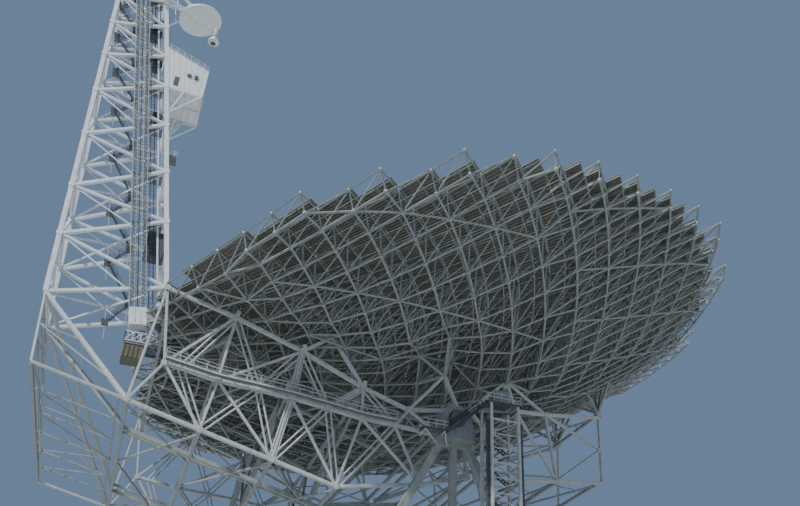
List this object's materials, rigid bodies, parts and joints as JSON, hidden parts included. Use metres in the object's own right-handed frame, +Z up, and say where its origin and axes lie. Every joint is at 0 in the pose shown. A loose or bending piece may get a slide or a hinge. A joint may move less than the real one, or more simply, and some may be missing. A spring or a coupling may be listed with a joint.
{
  "type": "scale model of a fully steerable radio telescope",
  "caption": "Scale model of a steerable radio telescope: off-axis dish on an open back-up frame, feed arm beside it, tipping box truss, A-frame alidade on a circular track.",
  "frame": {"origin": "on the azimuth axis at ground level, at the centre of the underside of the pintle pedestal", "axes": "+X from the feed arm towards the far rim of the dish, +Y to the side away from the lift tower along the elevation axis, +Z up"},
  "size_m": [11.3498, 10.7826, 14.0764],
  "materials": {
    "white_steel": "weathered white paint, satin",
    "grey_steel": "grey paint, satin",
    "panel_aluminium": "painted sheet panels, matt",
    "cabin_white": "white sheet cladding, satin",
    "rail_steel": "bare rolled steel",
    "concrete": "cast concrete, matt"
  },
  "bodies": {
    "ground_works": {"track_foundation": "concrete", "azimuth_rail": "rail_steel", "pintle_pedestal": "concrete"},
    "alidade": {"pintle_cross_beams": "white_steel", "truck_near_left": "grey_steel", "truck_near_right": "grey_steel", "truck_far_left": "grey_steel", "truck_far_right": "grey_steel", "a_frame_near": "white_steel", "a_frame_far": "white_steel", "end_frame_left": "white_steel", "end_frame_right": "white_steel", "bearing_housing_near": "grey_steel", "bearing_housing_far": "grey_steel", "lift_tower": "white_steel", "elevation_drive": "grey_steel"},
    "tipping_structure": {"elevation_shaft_near": "rail_steel", "elevation_shaft_far": "rail_steel", "side_truss_near": "white_steel", "side_truss_far": "white_steel", "rear_truss_near": "white_steel", "rear_truss_far": "white_steel", "roof_frame": "white_steel", "floor_frame": "white_steel", "elbow_frame": "white_steel", "rear_roof_frame": "white_steel", "rear_floor_frame": "white_steel", "elevation_wheel": "white_steel", "counterweight_near": "grey_steel", "counterweight_far": "grey_steel", "tower_face_near": "white_steel", "tower_face_far": "white_steel", "tower_face_outer": "white_steel", "tower_face_inner": "white_steel", "pedestal_near": "white_steel", "pedestal_far": "white_steel", "pedestal_outer": "white_steel", "pedestal_inner": "white_steel", "receiver_room": "cabin_white", "subreflector": "cabin_white", "head_frame": "white_steel", "prime_focus_boom": "cabin_white", "lift_mast": "grey_steel", "lift_landing": "grey_steel", "walkway_near": "grey_steel", "reflector_near_left": "panel_aluminium", "reflector_far_left": "panel_aluminium", "reflector_near_middle": "panel_aluminium", "reflector_far_middle": "panel_aluminium", "reflector_near_right": "panel_aluminium", "reflector_far_right": "panel_aluminium", "back_frame_near_left": "white_steel", "back_frame_far_left": "white_steel", "back_frame_near_right": "white_steel", "back_frame_far_right": "white_steel"},
    "feed_arm_lift_car": {"lift_car": "cabin_white"}
  },
  "joints": [
    {"name": "azimuth", "type": "hinge", "parent": "ground_works", "child": "alidade", "pos_m": [0, 0, 0.4], "axis": [0, 0, 1], "range_deg": [-270, 270]},
    {"name": "elevation", "type": "hinge", "parent": "alidade", "child": "tipping_structure", "pos_m": [0, 0, 4.775], "axis": [0, 1, 0], "range_deg": [-15, 75]},
    {"name": "feed_arm_lift", "type": "slide", "parent": "tipping_structure", "child": "feed_arm_lift_car", "axis": [-0.1769, 0.0398, 0.9834], "range_m": [0, 7]}
  ]
}
